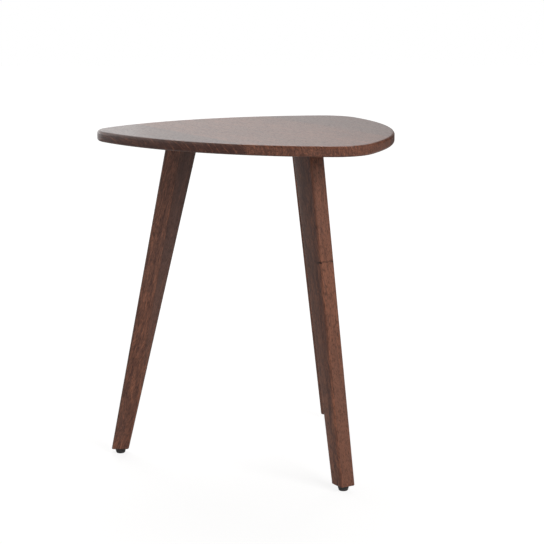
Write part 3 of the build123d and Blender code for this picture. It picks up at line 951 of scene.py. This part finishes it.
def pale_floor():
    """Pale matt floor. The camera sees it near white, with the table's shadow kept, under a glow that grows
    with the distance from the table."""
    material, tree, shader = new_material("pale_floor")
    shader.inputs["Base Color"].default_value = linear(FLOOR_COLOUR)
    shader.inputs["Roughness"].default_value = 0.9
    shader.inputs["Specular IOR Level"].default_value = 0.0
    camera_ray = add_node(tree, "ShaderNodeLightPath")["Is Camera Ray"]
    paper = add_node(tree, "ShaderNodeBsdfDiffuse", {"Color": linear(SHADOW_COLOUR)})[0]
    place = add_node(tree, "ShaderNodeTexCoord")["Object"]
    away = add_node(tree, "ShaderNodeVectorMath", (place,), operation="LENGTH")["Value"]
    inputs = (away, GLOW_START, GLOW_END, NEAR_GLOW, FAR_GLOW)
    strength = add_node(tree, "ShaderNodeMapRange", inputs)["Result"]
    glow = add_node(tree, "ShaderNodeEmission", {"Color": WHITE, "Strength": strength})[0]
    seen = add_node(tree, "ShaderNodeAddShader", (paper, glow))[0]
    both = add_node(tree, "ShaderNodeMixShader", (camera_ray, shader.outputs[0], seen))[0]
    tree.links.new(both, tree.nodes["Material Output"].inputs["Surface"])
    return material


def dim_studio():
    """Dim surroundings with soft bright patches, which the lacquer mirrors. The camera sees them white."""
    world = bpy.data.worlds.new("studio")
    world.use_nodes = True
    tree = world.node_tree
    background = tree.nodes["Background"]
    direction = add_node(tree, "ShaderNodeTexCoord")["Generated"]
    glow = DIM
    for middle_direction, start, full, strength in SURROUNDINGS.values():
        inputs = (direction, middle_direction)
        cosine = add_node(tree, "ShaderNodeVectorMath", inputs, operation="DOT_PRODUCT")["Value"]
        inputs = (cosine, start, full, 0.0, strength)
        patch = add_node(tree, "ShaderNodeMapRange", inputs, interpolation_type="SMOOTHSTEP")["Result"]
        glow = add_node(tree, "ShaderNodeMath", (glow, patch), operation="ADD")[0]
    camera_ray = add_node(tree, "ShaderNodeLightPath")["Is Camera Ray"]
    inputs = {"Factor": camera_ray, "A": glow, "B": 1.0}
    strength = add_node(tree, "ShaderNodeMix", inputs, data_type="FLOAT")[0]
    tree.links.new(strength, background.inputs["Strength"])
    background.inputs["Color"].default_value = WHITE
    return world


def add_lamp(scene, name, place, aim, width, height, power, mirrored):
    """Adds a rectangular lamp that faces a point. The frontal lamps don't mirror in the lacquer, so they
    leave no hard glint."""
    lamp = bpy.data.lights.new(name, "AREA")
    lamp.shape, lamp.size, lamp.size_y, lamp.energy = "RECTANGLE", width, height, power
    holder = bpy.data.objects.new(name, lamp)
    scene.collection.objects.link(holder)
    holder.location = place
    holder.rotation_euler = (Vector(aim) - Vector(place)).to_track_quat("-Z", "Y").to_euler()
    holder.visible_camera, holder.visible_glossy = False, mirrored


class SIDETABLE_OT_stage(bpy.types.Operator):
    """Add the pale floor, the surroundings, the lamps and the camera"""

    bl_idname = "side_table.stage"
    bl_label = "Stage"

    def execute(self, context):
        scene = context.scene
        corners = [(x * FLOOR_HALF, y * FLOOR_HALF, 0) for x, y in ((-1, -1), (1, -1), (1, 1), (-1, 1))]
        mesh = bpy.data.meshes.new("floor")
        mesh.from_pydata(corners, [], [(0, 1, 2, 3)])
        mesh.materials.append(pale_floor())
        floor = bpy.data.objects.new("floor", mesh)
        scene.collection.objects.link(floor)
        scene.world = dim_studio()
        for name, lamp in LAMPS.items():
            add_lamp(scene, name, *lamp)
        lens = bpy.data.cameras.new("camera")
        lens.lens, lens.sensor_width = FOCAL_LENGTH, SENSOR_WIDTH
        camera = bpy.data.objects.new("camera", lens)
        scene.collection.objects.link(camera)
        level = Matrix.Rotation(-CAMERA_PAN, 3, "Z") @ Matrix.Rotation(math.pi / 2 - CAMERA_TILT, 3, "X")
        camera.rotation_euler = (level @ Matrix.Rotation(CAMERA_ROLL, 3, "Z")).to_euler()
        camera.location = CAMERA_PLACE
        scene.camera = camera
        scene.view_settings.view_transform = "Standard"
        return {"FINISHED"}


class SIDETABLE_PT_panel(bpy.types.Panel):
    """The table's pieces and stage, in the order in which they are added"""

    bl_idname = "SIDETABLE_PT_panel"
    bl_label = "Side Table"
    bl_space_type = "VIEW_3D"
    bl_region_type = "UI"
    bl_category = "Side Table"

    def draw(self, context):
        for step in STEPS:
            self.layout.operator(step.bl_idname)
        for settings in (context.scene.side_table_sizes, context.scene.side_table_finish):
            box = self.layout.box()
            for name in settings.__annotations__:
                box.prop(settings, name)


STEPS = (
    SIDETABLE_OT_board,
    SIDETABLE_OT_legs,
    SIDETABLE_OT_glides,
    SIDETABLE_OT_screws,
    SIDETABLE_OT_fittings,
    SIDETABLE_OT_stage,
)
CLASSES = (SideTableSizes, SideTableFinish, *STEPS, SIDETABLE_PT_panel)


def register():
    """Registers the classes and hangs the settings on the scene."""
    for each in CLASSES:
        bpy.utils.register_class(each)
    bpy.types.Scene.side_table_sizes = PointerProperty(type=SideTableSizes)
    bpy.types.Scene.side_table_finish = PointerProperty(type=SideTableFinish)


def unregister():
    """Takes the settings and the classes away again."""
    del bpy.types.Scene.side_table_finish
    del bpy.types.Scene.side_table_sizes
    for each in reversed(CLASSES):
        bpy.utils.unregister_class(each)


def main():
    register()
    bpy.ops.side_table.board()
    bpy.ops.side_table.legs()
    bpy.ops.side_table.glides()
    bpy.ops.side_table.screws()
    bpy.ops.side_table.fittings()
    bpy.ops.side_table.stage()


if __name__ == "__main__":
    main()
